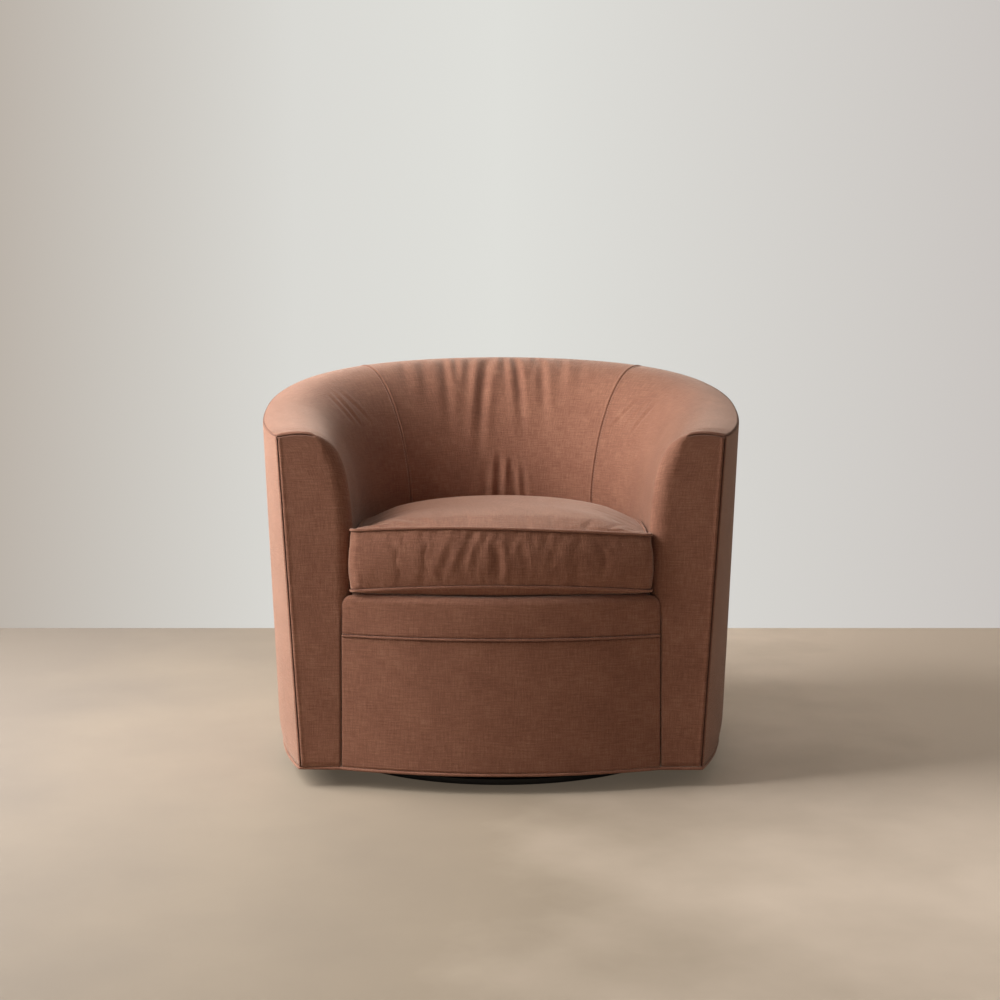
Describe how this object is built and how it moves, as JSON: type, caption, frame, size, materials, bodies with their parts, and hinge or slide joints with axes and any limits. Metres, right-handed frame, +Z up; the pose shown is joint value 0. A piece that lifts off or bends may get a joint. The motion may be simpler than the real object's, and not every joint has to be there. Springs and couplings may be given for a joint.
{
  "type": "swivel barrel chair",
  "caption": "Round-backed upholstered armchair with a loose box cushion, on a low round base, that swivels on a ball race.",
  "frame": {"origin": "on the floor, on the swivel axis, under the middle of the chair", "axes": "the chair faces -Y, +X is to the right seen from its front, +Z is up along the swivel axis"},
  "size_m": [0.9028, 0.8113, 0.7376],
  "materials": {
    "cover_cloth": "matte",
    "welt_cloth": "matte",
    "deck_cloth": "matte",
    "dust_cloth": "matte",
    "felt": "matte",
    "webbing": "matte",
    "zip": "matte",
    "foam": "matte",
    "spring_wire": "satin",
    "plate_steel": "satin",
    "zinc_steel": "satin",
    "cage_plastic": "matte",
    "black_disc": "satin",
    "glide_plastic": "matte",
    "fibreboard": "matte",
    "frame_wood": "matte"
  },
  "bodies": {
    "base": {"base_disc": "black_disc", "base_glides": "glide_plastic", "swivel_lower_plate": "plate_steel", "lower_plate_screws": "zinc_steel", "swivel_pin": "zinc_steel", "pin_nut": "zinc_steel"},
    "ball_cage": {"ball_cage": "cage_plastic", "swivel_balls": "zinc_steel"},
    "cushion": {"cushion_core": "foam", "cushion_top_panel": "cover_cloth", "cushion_boxing": "cover_cloth", "cushion_bottom_panel": "cover_cloth", "cushion_welt_top": "welt_cloth", "cushion_welt_bottom": "welt_cloth", "cushion_zip": "zip"},
    "chair": {"swivel_upper_plate": "plate_steel", "upper_plate_bolts": "zinc_steel", "bottom_board": "frame_wood", "seat_ring": "frame_wood", "front_rail": "frame_wood", "top_rail": "frame_wood", "back_rib_1": "frame_wood", "back_rib_2": "frame_wood", "back_rib_3": "frame_wood", "back_rib_4": "frame_wood", "back_rib_5": "frame_wood", "side_rib_left": "frame_wood", "side_rib_right": "frame_wood", "arm_front_board_left": "frame_wood", "arm_front_board_right": "frame_wood", "outside_wrap_board": "fibreboard", "front_wrap_board": "fibreboard", "back_webbing": "webbing", "seat_spring_1": "spring_wire", "seat_spring_2": "spring_wire", "seat_spring_3": "spring_wire", "seat_spring_4": "spring_wire", "seat_spring_5": "spring_wire", "spring_clips": "zinc_steel", "deck_insulator": "felt", "deck_pad": "foam", "deck_cover": "deck_cloth", "front_edge_roll": "foam", "inside_back_pad": "foam", "arm_pad_left": "foam", "arm_pad_right": "foam", "inside_back_cover": "cover_cloth", "arm_cover_left": "cover_cloth", "arm_cover_right": "cover_cloth", "outside_cover": "cover_cloth", "front_band_cover": "cover_cloth", "front_apron_cover": "cover_cloth", "band_welt": "welt_cloth", "bottom_welt": "welt_cloth", "dust_cover": "dust_cloth"}
  },
  "joints": [
    {"name": "seat_swivel", "type": "hinge", "parent": "base", "child": "chair", "pos_m": [0, 0, 0.0265], "axis": [0, 0, 1], "continuous": true},
    {"name": "cage_turn", "type": "hinge", "parent": "base", "child": "ball_cage", "pos_m": [0, 0, 0.0265], "axis": [0, 0, 1], "continuous": true},
    {"name": "cushion_lift", "type": "slide", "parent": "chair", "child": "cushion", "axis": [0, 0, 1], "range_m": [0, 0.4]}
  ],
  "couplings": [
    {"joint": "cage_turn", "follows": "seat_swivel", "ratio": 0.5}
  ]
}
